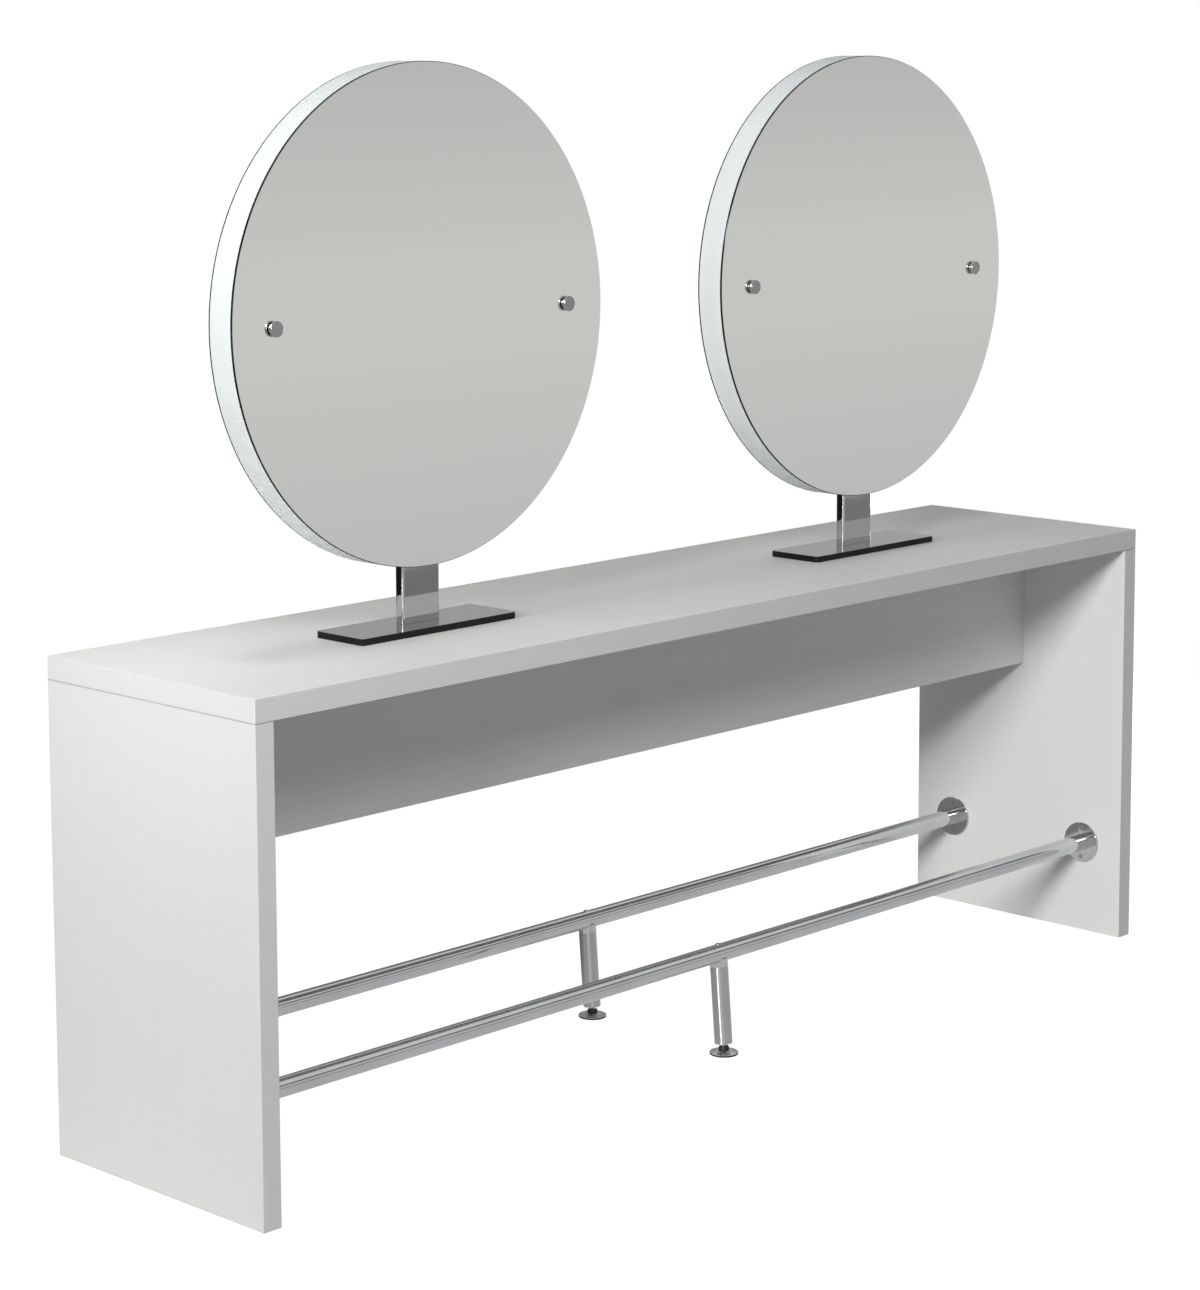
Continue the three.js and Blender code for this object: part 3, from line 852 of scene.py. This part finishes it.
@dataclass
class FootRail:
    """One foot rail with its flanges, leaning leg and levelling foot.

    The tube, flange, hub, stem, pad and disc are given by their radii, and heights in the foot are above
    the floor, or above the ball's centre for the hub and the stem.
    """

    face: Face
    spacing: float = 0.34
    height: float = 0.19
    reach: float = 1.162
    tube: float = 0.01685
    wall: float = 0.002
    fit: float = 0.0003
    edge: float = 0.0004
    fine_edge: float = 0.0003
    drill: float = 0.02
    flange: float = 0.043
    flange_thick: float = 0.004
    screw_circle: float = 0.03
    spigot: float = 0.02
    lean: float = math.radians(4.5)
    neck: float = 0.0075
    grip: float = 0.009
    ball_height: float = 0.01
    hub: float = 0.01
    hub_top: float = 0.0045
    leg_gap: float = 0.006
    bore_depth: float = 0.002
    tilt_room: float = 0.002
    stem: float = 0.005
    stem_low: float = -0.0017
    stem_high: float = 0.0583
    stem_point: float = 0.0012
    stem_steps: int = 40
    thread_start: float = 0.003
    thread_stop: float = 0.001
    pitch: float = 0.0015
    thread: float = 0.0006
    pad: float = 0.027
    pad_thick: float = 0.003
    pad_hollow: float = 0.016
    pad_lift: float = 0.0005
    disc: float = 0.027
    disc_rim: float = 0.0012
    disc_below_ball: float = 0.002
    collar: float = 0.003
    steps: int = 72
    flange_screw: FlangeScrew = FlangeScrew()
    leg_screw: LegScrew = LegScrew()

    def __post_init__(self) -> None:
        """Works out the places that follow from the sizes."""
        self.name = self.face.name.lower()
        self.across = self.face.value * self.spacing / 2
        self.ball = (self.height - self.ball_height) / math.cos(self.lean)
        self.seam = self.tube + self.neck
        self.leg_end = self.ball - self.hub_top - self.leg_gap
        place = Matrix.Translation((0, self.across, self.height))
        self.leaning = place @ Matrix.Rotation(-self.lean, 4, "X")
        self.ball_place = self.leaning @ Matrix.Translation((0, 0, -self.ball))
        self.foot_place = Matrix.Translation((0, self.ball_place.translation.y, 0))

    def build(self, finishes: Finishes) -> None:
        """Models and dresses the rail, its leg and its foot.

        Args:
            finishes: the materials.
        """
        self.build_rail(finishes)
        self.build_flanges(finishes)
        self.build_leg(finishes)
        self.build_foot(finishes)

    def cross_rod(self, radius: float) -> Piece:
        """Models a rod along X, for cutting.

        Args:
            radius: of the rod.

        Returns:
            The rod.
        """
        half = self.tube * 2
        rod = Bench.turned("cutter", disc(radius, -half, half), self.steps)
        return Bench.moved(rod, Matrix.Rotation(QUARTER, 4, "Y"))

    def build_rail(self, finishes: Finishes) -> None:
        """Models the rail tube, drilled for the leg screw.

        Args:
            finishes: the materials.
        """
        end = self.reach - self.flange_thick - self.fit
        walls = band(self.tube, self.tube - self.wall, -end, end)
        rail = Bench.turned(f"{self.name}_rail_tube", walls, self.steps)
        Bench.moved(rail, Matrix.Rotation(QUARTER, 4, "Y"))
        screw, fit = self.leg_screw, self.fit
        floor = self.tube - screw.sunk - fit
        seat = Bench.turned("cutter", disc(screw.head + fit, floor, self.drill), DRILL_STEPS)
        hole = Bench.turned("cutter", disc(screw.shank + fit, -self.drill, self.drill), DRILL_STEPS)
        Bench.cut(rail, [seat, hole])
        Bench.moved(rail, self.leaning)
        dress(rail, finishes.chrome, STATION, "chrome", f"{self.name}_foot_rail")

    def build_flanges(self, finishes: Finishes) -> None:
        """Models the two wall flanges and their screws.

        Args:
            finishes: the materials.
        """
        thick, plug = self.flange_thick, self.tube - self.wall - self.fit
        profile = [(0, 0), (self.flange, 0), (self.flange, thick * 0.55), (self.flange - 0.0012, thick * 0.9),
                   (self.flange - 0.003, thick), (plug, thick), (plug, thick + self.spigot),
                   (0, thick + self.spigot)]
        pattern = Bench.turned("flange", profile, self.steps, self.fine_edge)
        screw = self.flange_screw
        hole, head, cone = screw.shank + self.fit, screw.head + self.fit, screw.head - screw.shank
        sink = [(0, -OVERCUT), (hole, -OVERCUT), (hole, thick - cone), (head, thick),
                (head, thick + OVERCUT), (0, thick + OVERCUT)]
        cutters = []
        for up in (-1, 1):
            cutter = Bench.turned("cutter", sink, DRILL_STEPS)
            cutters.append(Bench.moved(cutter, Matrix.Translation((up * self.screw_circle, 0, 0))))
        Bench.cut(pattern, cutters)
        screw = screw.build(thick - self.fit)
        for side in Side:
            end = side.name.lower()
            wall = Matrix.Translation((side.value * self.reach, self.across, self.height))
            wall = wall @ Matrix.Rotation(-side.value * QUARTER, 4, "Y")
            flange = Bench.copied(pattern, f"{self.name}_{end}_flange", wall)
            dress(flange, finishes.chrome, STATION, "chrome", f"{self.name}_{end}_rail_flange")
            for level, up in (("upper", side.value), ("lower", -side.value)):
                spot = wall @ Matrix.Translation((up * self.screw_circle, 0, 0))
                copy = Bench.copied(screw, f"{self.name}_{end}_{level}_screw", spot)
                node = f"{self.name}_{end}_flange_{level}_screw"
                dress(copy, finishes.steel, STATION, "chrome", node)
        Bench.drop(pattern)
        Bench.drop(screw)

    def build_leg(self, finishes: Finishes) -> None:
        """Models the saddle, the leg tube and the leg screw.

        Args:
            finishes: the materials.
        """
        name = self.name
        block = disc(self.tube, -self.seam, self.grip - self.tube)
        saddle = Bench.turned(f"{name}_saddle", block, self.steps, self.edge)
        Bench.cut(saddle, [self.cross_rod(self.tube + self.fit / 2)])
        Bench.moved(saddle, self.leaning)
        dress(saddle, finishes.chrome, STATION, "chrome", f"{name}_leg_saddle")
        walls = band(self.tube, self.tube - self.wall, -self.leg_end, -self.seam)
        leg = Bench.turned(f"{name}_leg", walls, self.steps, self.edge)
        Bench.moved(leg, self.leaning)
        dress(leg, finishes.satin, STATION, "chrome", f"{name}_leg_tube")
        repaint(finishes.steel, f"{name}_leg_insert")
        screw = self.leg_screw.build(f"{name}_rail_screw", self.tube)
        Bench.moved(screw, self.leaning)
        dress(screw, finishes.steel, STATION, "steel", f"{name}_leg_screw")

    def build_foot(self, finishes: Finishes) -> None:
        """Models the levelling foot: hub, stem, disc and pad.

        Args:
            finishes: the materials.
        """
        self.build_hub(finishes)
        self.build_stem(finishes)
        self.build_disc(finishes)
        self.build_pad(finishes)

    def build_hub(self, finishes: Finishes) -> None:
        """Models the ball hub with the bore for the stem.

        Args:
            finishes: the materials.
        """
        bottom = self.ball_height - self.pad_thick - self.tilt_room
        low, high = -math.asin(bottom / self.hub), math.asin(self.hub_top / self.hub)
        bore = self.stem + self.fit
        profile = [(0.0, -bottom)] + arc(self.hub, 0.0, low, high, 16)
        profile += [(bore, self.hub_top), (bore, -self.bore_depth), (0.0, -self.bore_depth)]
        piece = Bench.turned(f"{self.name}_hub", profile, self.steps, self.fine_edge)
        Bench.moved(piece, self.ball_place)
        dress(piece, finishes.nylon, f"{self.name}_hub", "nylon", f"{self.name}_foot_hub")

    def build_stem(self, finishes: Finishes) -> None:
        """Models the stem with its thread as ridges.

        Args:
            finishes: the materials.
        """
        root, low, high = self.stem - self.thread, self.stem_low, self.stem_high
        profile = [(0.0, low), (root, low)]
        height = self.thread_start
        while height + self.pitch < high - self.thread_stop:
            profile += [(root, height), (self.stem, height + self.pitch / 2)]
            height += self.pitch
        profile += [(self.stem - self.stem_point, high), (0.0, high)]
        piece = Bench.turned(f"{self.name}_stem", profile, self.stem_steps)
        Bench.moved(piece, self.ball_place)
        dress(piece, finishes.satin, f"{self.name}_stem", "steel", f"{self.name}_foot_stem")

    def build_disc(self, finishes: Finishes) -> None:
        """Models the disc, which rises to a collar round the ball.

        Args:
            finishes: the materials.
        """
        socket, rim, floor = self.hub + self.fit, self.disc, self.pad_thick
        lip = self.ball_height - self.disc_below_ball
        wall = arc(socket, self.ball_height, -math.asin(self.disc_below_ball / socket),
                   math.asin((floor - self.ball_height) / socket), 12)
        collar = wall[0][0] + self.collar
        profile = [wall[-1], (rim - 0.0006, floor), (rim, floor + 0.0004), (rim, floor + 0.0008),
                   (rim - 0.0005, floor + self.disc_rim), (rim - 0.004, floor + 0.0018),
                   (collar + 0.005, lip - 0.0024), (collar + 0.0015, lip - 0.0009), (collar, lip)] + wall
        piece = Bench.turned(f"{self.name}_disc", profile, self.steps)
        Bench.moved(piece, self.foot_place)
        dress(piece, finishes.bright, f"{self.name}_foot", "chrome", f"{self.name}_foot_disc")

    def build_pad(self, finishes: Finishes) -> None:
        """Models the rubber pad, hollowed a little underneath.

        Args:
            finishes: the materials.
        """
        rim, floor = self.pad, self.pad_thick
        hollow, lift = self.pad_hollow, self.pad_lift
        profile = [(0.0, lift), (hollow, lift), (hollow + lift, 0.0), (rim - self.edge, 0.0),
                   (rim, self.edge), (rim, floor), (0.0, floor)]
        piece = Bench.turned(f"{self.name}_pad", profile, self.steps)
        Bench.moved(piece, self.foot_place)
        dress(piece, finishes.rubber, f"{self.name}_foot", "rubber", f"{self.name}_foot_pad")


@dataclass(frozen=True)
class Knob:
    """Turned knob on a stud through the glass, with Z out of its head."""

    stud: float = 0.004
    stud_start: float = 0.006
    neck: float = 0.0085
    neck_height: float = 0.0035
    head: float = 0.0135
    head_height: float = 0.0055
    steps: int = 56

    def build(self, face: float) -> Piece:
        """Models the knob.

        Args:
            face: height of the glass that it stands on.

        Returns:
            The knob, as a pattern to copy.
        """
        low = face + self.neck_height
        top = low + self.head_height
        profile = [(0.0, self.stud_start), (self.stud, self.stud_start), (self.stud, face),
                   (self.neck, face), (self.neck, low - 0.0004), (self.neck + 0.0004, low),
                   (self.head - 0.001, low), (self.head - 0.0003, low + 0.0003), (self.head, low + 0.001),
                   (self.head, top - 0.0012), (self.head - 0.0004, top - 0.0004),
                   (self.head - 0.0012, top), (0.0, top)]
        return Bench.turned("knob", profile, self.steps)


@dataclass(frozen=True)
class AnchorBolt:
    """Bolt from under the table top into a base plate, with its head down."""

    shank: float = 0.004
    head: float = 0.01
    head_height: float = 0.006
    key: float = 0.0035
    key_depth: float = 0.004
    steps: int = 40

    def build(self, name: str, under: float, end: float) -> Piece:
        """Models the bolt.

        Args:
            name: the bolt's name.
            under: height of the underside that its head sits against.
            end: height of its tip.

        Returns:
            The bolt, on the Z axis.
        """
        cap = under - self.head_height
        profile = [(0.0, cap), (self.head - 0.0015, cap), (self.head - 0.0003, cap + 0.001),
                   (self.head, cap + 0.002), (self.head, under), (self.shank, under), (self.shank, end),
                   (0.0, end)]
        bolt = Bench.turned(name, profile, self.steps)
        Bench.hex_recess(bolt, self.key, self.key_depth, cap)
        return bolt


@dataclass
class MirrorStand:
    """One mirror that faces both ways, on its post and base plate."""

    side: Side
    offset: float = 0.6
    table: float = Table.height
    top_thick: float = Table.top
    plate_length: float = 0.37
    plate_depth: float = 0.12
    plate_thick: float = 0.012
    plate_corner: float = 0.008
    plate_edge: float = 0.0007
    post_width: float = 0.088
    post_depth: float = 0.02
    post_corner: float = 0.004
    slot_edge: float = 0.0001
    edge: float = 0.0004
    post_top: float = 1.239
    centre: float = 1.414
    radius: float = 0.435
    core: float = 0.052
    glass: float = 0.004
    glass_bevel: float = 0.0012
    rim: float = 0.0025
    fit: float = 0.0003
    knob_offset: float = 0.345
    anchor_along: float = 0.13
    anchor_across: float = 0.0375
    anchor_reach: float = 0.0092
    steps: int = 240
    knob: Knob = Knob()
    anchor: AnchorBolt = AnchorBolt()

    def __post_init__(self) -> None:
        """Works out the places that follow from the sizes."""
        self.name = f"{self.side.name.lower()}_mirror"
        self.along = self.side.value * self.offset
        self.hub = Matrix.Translation((self.along, 0, self.centre))

    def build(self, finishes: Finishes) -> None:
        """Models and dresses the stand and its mirror.

        Args:
            finishes: the materials.
        """
        self.build_stand(finishes)
        self.build_drum(finishes)
        self.build_knobs(finishes)
        self.build_anchors(finishes)

    def build_stand(self, finishes: Finishes) -> None:
        """Models the base plate and the post.

        Args:
            finishes: the materials.
        """
        x, half, deep = self.along, self.plate_length / 2, self.plate_depth / 2
        top = self.table + self.plate_thick
        plate = Bench.slab(f"{self.name}_plate", (x - half, -deep, self.table), (x + half, deep, top),
                           self.plate_edge, self.plate_corner)
        dress(plate, finishes.plate, STATION, "chrome", f"{self.name}_base_plate")
        wide, thick = self.post_width / 2, self.post_depth / 2
        post = Bench.slab(f"{self.name}_upright", (x - wide, -thick, top), (x + wide, thick, self.post_top),
                          self.edge, self.post_corner)
        dress(post, finishes.post, STATION, "chrome", f"{self.name}_post")

    def facing(self, face: Face) -> Matrix:
        """Returns the mirror's frame with its Z out of one face."""
        return self.hub @ Matrix.Rotation(-face.value * QUARTER, 4, "X")

    def build_drum(self, finishes: Finishes) -> None:
        """Models the rim and the two glasses; the hidden core and bolt keep their solids.

        Args:
            finishes: the materials.
        """
        half = self.core / 2
        ring = band(self.radius, self.radius - self.rim, -half, half)
        rim = Bench.turned(f"{self.name}_band", ring, self.steps, self.edge)
        Bench.moved(rim, self.facing(Face.BACK))
        wide, thick = self.post_width / 2 + self.fit, self.post_depth / 2 + self.fit
        slot = Bench.slab("cutter", (self.along - wide, -thick, self.table),
                          (self.along + wide, thick, self.post_top), self.slot_edge, self.post_corner)
        Bench.cut(rim, [slot])
        dress(rim, finishes.rim, STATION, "rim", f"{self.name}_rim")
        for face in Face:
            self.build_glass(face, finishes)
        repaint(finishes.fibre, f"{self.name}_core")
        repaint(finishes.steel, f"{self.name}_post_bolt")

    def build_glass(self, face: Face, finishes: Finishes) -> None:
        """Models one glass with a bevelled edge and two holes for the knobs.

        Args:
            face: the side of the mirror that it is on.
            finishes: the materials.
        """
        inner, rim, bevel = self.core / 2, self.radius, self.glass_bevel
        outer = inner + self.glass
        profile = [(0.0, inner), (rim, inner), (rim, outer - bevel), (rim - bevel, outer), (0.0, outer)]
        name = f"{self.name}_{face.name.lower()}"
        pane = Bench.turned(f"{name}_pane", profile, self.steps)
        drill = disc(self.knob.stud + self.fit, inner - OVERCUT, outer + OVERCUT)
        holes = []
        for side in Side:
            hole = Bench.turned("cutter", drill, DRILL_STEPS)
            holes.append(Bench.moved(hole, Matrix.Translation((side.value * self.knob_offset, 0, 0))))
        Bench.cut(pane, holes)
        Bench.moved(pane, self.facing(face))
        dress(pane, finishes.mirror, STATION, "mirror", f"{name}_glass")
        pane.data.materials.append(finishes.glass_edge)
        for polygon in pane.data.polygons:
            polygon.material_index = int(abs(polygon.normal.y) < FLAT)

    def build_knobs(self, finishes: Finishes) -> None:
        """Models the turned knobs, two on each glass.

        Args:
            finishes: the materials.
        """
        pattern = self.knob.build(self.core / 2 + self.glass)
        for way in Face:
            for side in Side:
                place = self.facing(way) @ Matrix.Translation((side.value * self.knob_offset, 0, 0))
                name = f"{self.name}_{way.name.lower()}_{side.name.lower()}_knob"
                knob = Bench.copied(pattern, f"{name}_turned", place)
                dress(knob, finishes.knob, STATION, "chrome", name)
        Bench.drop(pattern)

    def build_anchors(self, finishes: Finishes) -> None:
        """Models the anchor bolts under the table top.

        Args:
            finishes: the materials.
        """
        under, end = self.table - self.top_thick, self.table + self.anchor_reach
        for way, along in ((Face.FRONT, self.anchor_along), (Face.BACK, -self.anchor_along)):
            name = f"{self.name}_{way.name.lower()}_anchor"
            bolt = self.anchor.build(name, under, end)
            spot = (self.along + self.side.value * along, way.value * self.anchor_across, 0)
            Bench.moved(bolt, Matrix.Translation(spot))
            dress(bolt, finishes.steel, STATION, "steel", f"{name}_bolt")


@dataclass
class Studio:
    """Floor, light and camera.

    The room that reflections show has pale walls, a dark gap above them and a bright ceiling. Their edges
    are given as sines of the angle above the horizon.
    """

    eye: Point = (-4.4177, -4.0707, 1.8828)
    azimuth: float = math.radians(45.5057)
    elevation: float = math.radians(7.2343)
    roll: float = math.radians(-0.3062)
    focal: float = 3241.45
    principal: Pair = (547.62, 451.5)
    image: Tuple[int, int] = (1200, 1290)
    sensor: float = 36.0
    ambient: float = 0.16
    reflected: float = 0.56
    reflected_high: float = 0.6
    wall_fade: Pair = (0.3, 0.7)
    gap_start: Pair = (0.36, 0.41)
    gap_end: Pair = (0.5, 0.45)
    gap_depth: float = 0.85
    ceiling: float = 0.4
    ceiling_start: Pair = (0.51, 0.57)
    key_strength: float = 1.6
    key_angle: float = math.radians(9)
    key_way: Point = (0.93, 0.25, -0.265)
    floor_size: float = 60.0
    floor_drop: float = 0.0004
    floor_tone: float = 0.58
    floor_seen: float = 0.9
    floor_glow: float = 1.5
    floor_share: float = 0.6

    def build(self) -> None:
        """Sets the camera, the light and the floor."""
        bpy.context.scene.view_settings.view_transform = "Standard"
        self.build_camera()
        self.build_world()
        self.build_lamps()
        self.build_floor()

    def build_camera(self) -> None:
        """Places the camera at the photograph's viewpoint."""
        a, e, r = self.azimuth, self.elevation, self.roll
        ahead = Vector((math.sin(a) * math.cos(e), math.cos(a) * math.cos(e), -math.sin(e)))
        right = Vector((math.cos(a), -math.sin(a), 0.0))
        up = right.cross(ahead)
        across = right * math.cos(r) + up * math.sin(r)
        above = up * math.cos(r) - right * math.sin(r)
        data = bpy.data.cameras.new("camera")
        data.sensor_width = self.sensor
        long_side = max(self.image)
        data.lens = self.focal * self.sensor / long_side
        data.shift_x = (self.image[0] / 2 - self.principal[0]) / long_side
        data.shift_y = (self.principal[1] - self.image[1] / 2) / long_side
        camera = bpy.data.objects.new("camera", data)
        turn = Matrix((across, above, -ahead)).transposed().to_4x4()
        camera.matrix_world = Matrix.Translation(self.eye) @ turn
        bpy.context.collection.objects.link(camera)
        bpy.context.scene.camera = camera

    def build_world(self) -> None:
        """Makes a white background, soft ambient light and a banded room for reflections."""
        world = bpy.data.worlds.new("studio")
        bpy.context.scene.world = world
        shader = Shader(world)
        way = shader.node("ShaderNodeTexCoord", None, None, "Generated")
        _, _, z = shader.axes(way)
        gap = z.ramp(*self.gap_start) * z.ramp(*self.gap_end)
        walls = z.ramp(*self.wall_fade, self.reflected, self.reflected * self.reflected_high)
        room = walls * (1.0 - gap * self.gap_depth) + z.ramp(*self.ceiling_start) * self.ceiling
        seen = shader.node("ShaderNodeLightPath", None, None, "Is Camera Ray")
        glossy = shader.node("ShaderNodeLightPath", None, None, "Is Glossy Ray")
        strength = seen + (1.0 - seen) * (glossy * room + (1.0 - glossy) * self.ambient)
        back = shader.node("ShaderNodeBackground", None, {"Color": grey(1.0), "Strength": strength})
        shader.node("ShaderNodeOutputWorld", None, {"Surface": back})

    def lamp(self, name: str, place: Point, aim: Point, size: Pair, power: float,
             spread: float = 180.0) -> None:
        """Adds one soft box.

        Args:
            name: its name.
            place: where it stands.
            aim: where it looks.
            size: width and height.
            power: in watts.
            spread: the angle its light fans out over, in degrees.
        """
        data = bpy.data.lights.new(name, "AREA")
        data.spread = math.radians(spread)
        data.shape = "RECTANGLE"
        data.size, data.size_y = size
        data.energy = power
        lamp = bpy.data.objects.new(name, data)
        look = (Vector(aim) - Vector(place)).to_track_quat("-Z", "Y")
        lamp.matrix_world = Matrix.Translation(place) @ look.to_matrix().to_4x4()
        bpy.context.collection.objects.link(lamp)

    def build_lamps(self) -> None:
        """Adds a low key light from the left, five soft boxes and the flags for reflections."""
        data = bpy.data.lights.new("key", "SUN")
        data.energy = self.key_strength
        data.angle = self.key_angle
        key = bpy.data.objects.new("key", data)
        key.rotation_mode = "QUATERNION"
        key.rotation_quaternion = Vector(self.key_way).to_track_quat("-Z", "Y")
        bpy.context.collection.objects.link(key)
        self.lamp("left_box", place=(-4.0, 0.0, 1.9), aim=(-1.1, 0.0, 1.15), size=(0.8, 0.8), power=1.4,
                  spread=34.0)
        self.lamp("end_box", place=(-1.25, 0.05, 3.2), aim=(-1.2, 0.1, 0.87), size=(0.5, 0.5), power=0.42,
                  spread=24.0)
        self.lamp("front_box", place=(-1.95, -2.0, 2.6), aim=(-0.8, -0.2, 0.7), size=(0.9, 0.9), power=32.0)
        self.lamp("top_box", place=(-0.9, 0.4, 3.0), aim=(-0.9, 0.0, 0.87), size=(3.0, 1.5), power=7.5)
        self.lamp("right_box", place=(3.7, 0.3, 0.75), aim=(1.2, 0.0, 0.45), size=(1.2, 1.2), power=40.0)
        self.flag("rear_flag", centre=(-2.0, 1.7, 0.51), size=(3.6, 0.52), level=0.015)
        self.flag("low_flag", centre=(0.05, 0.36, 0.25), size=(2.1, 0.5), level=0.22)
        self.flag("front_flag", centre=(3.0, -3.0, 0.155), size=(5.0, 0.31), level=0.28)

    def flag(self, name: str, centre: Point, size: Pair, level: float) -> None:
        """Stands an upright grey panel along X, seen only in reflections.

        Args:
            name: its name.
            centre: its middle.
            size: length and height.
            level: how bright it looks.
        """
        Bench.clear()
        bpy.ops.mesh.primitive_plane_add(size=1.0, location=centre, rotation=(QUARTER, 0, 0))
        bpy.context.object.scale = (size[0], size[1], 1.0)
        panel = Bench.close(name)
        material = bpy.data.materials.new(name)
        shader = Shader(material)
        glow = shader.node("ShaderNodeEmission", None, {"Color": grey(1.0), "Strength": level})
        shader.node("ShaderNodeOutputMaterial", None, {"Surface": glow})
        panel.data.materials.append(material)
        panel.visible_camera = False
        panel.visible_diffuse = False
        panel.visible_shadow = False

    def build_floor(self) -> None:
        """Adds the pale floor, which keeps a soft shadow."""
        Bench.clear()
        bpy.ops.mesh.primitive_plane_add(size=self.floor_size, location=(0, 0, -self.floor_drop))
        floor = Bench.close("floor")
        material = bpy.data.materials.new("floor_white")
        shader = Shader(material)
        seen = shader.node("ShaderNodeLightPath", None, None, "Is Camera Ray")
        glossy = shader.node("ShaderNodeLightPath", None, None, "Is Glossy Ray")
        matt = shader.node("ShaderNodeBsdfDiffuse", None, {"Color": grey(self.floor_seen)})
        glow = shader.node("ShaderNodeEmission", None, {"Color": grey(1.0), "Strength": self.floor_glow})
        front = shader.node("ShaderNodeMixShader", None, {0: self.floor_share, 1: matt, 2: glow})
        matt = shader.node("ShaderNodeBsdfDiffuse", None, {"Color": grey(self.floor_tone)})
        glow = shader.node("ShaderNodeEmission", None, {"Color": grey(1.0), "Strength": self.reflected})
        other = shader.node("ShaderNodeMixShader", None, {0: glossy, 1: matt, 2: glow})
        mixed = shader.node("ShaderNodeMixShader", None, {0: seen, 1: other, 2: front})
        shader.node("ShaderNodeOutputMaterial", None, {"Surface": mixed})
        floor.data.materials.append(material)


def main() -> None:
    """Builds the station's looks and its studio."""
    logging.basicConfig(level=logging.INFO, format="%(message)s")
    finishes = Finishes()
    Table().build(finishes)
    for face in Face:
        FootRail(face).build(finishes)
    for side in Side:
        MirrorStand(side).build(finishes)
    Studio().build()


if __name__ == "__main__":
    main()
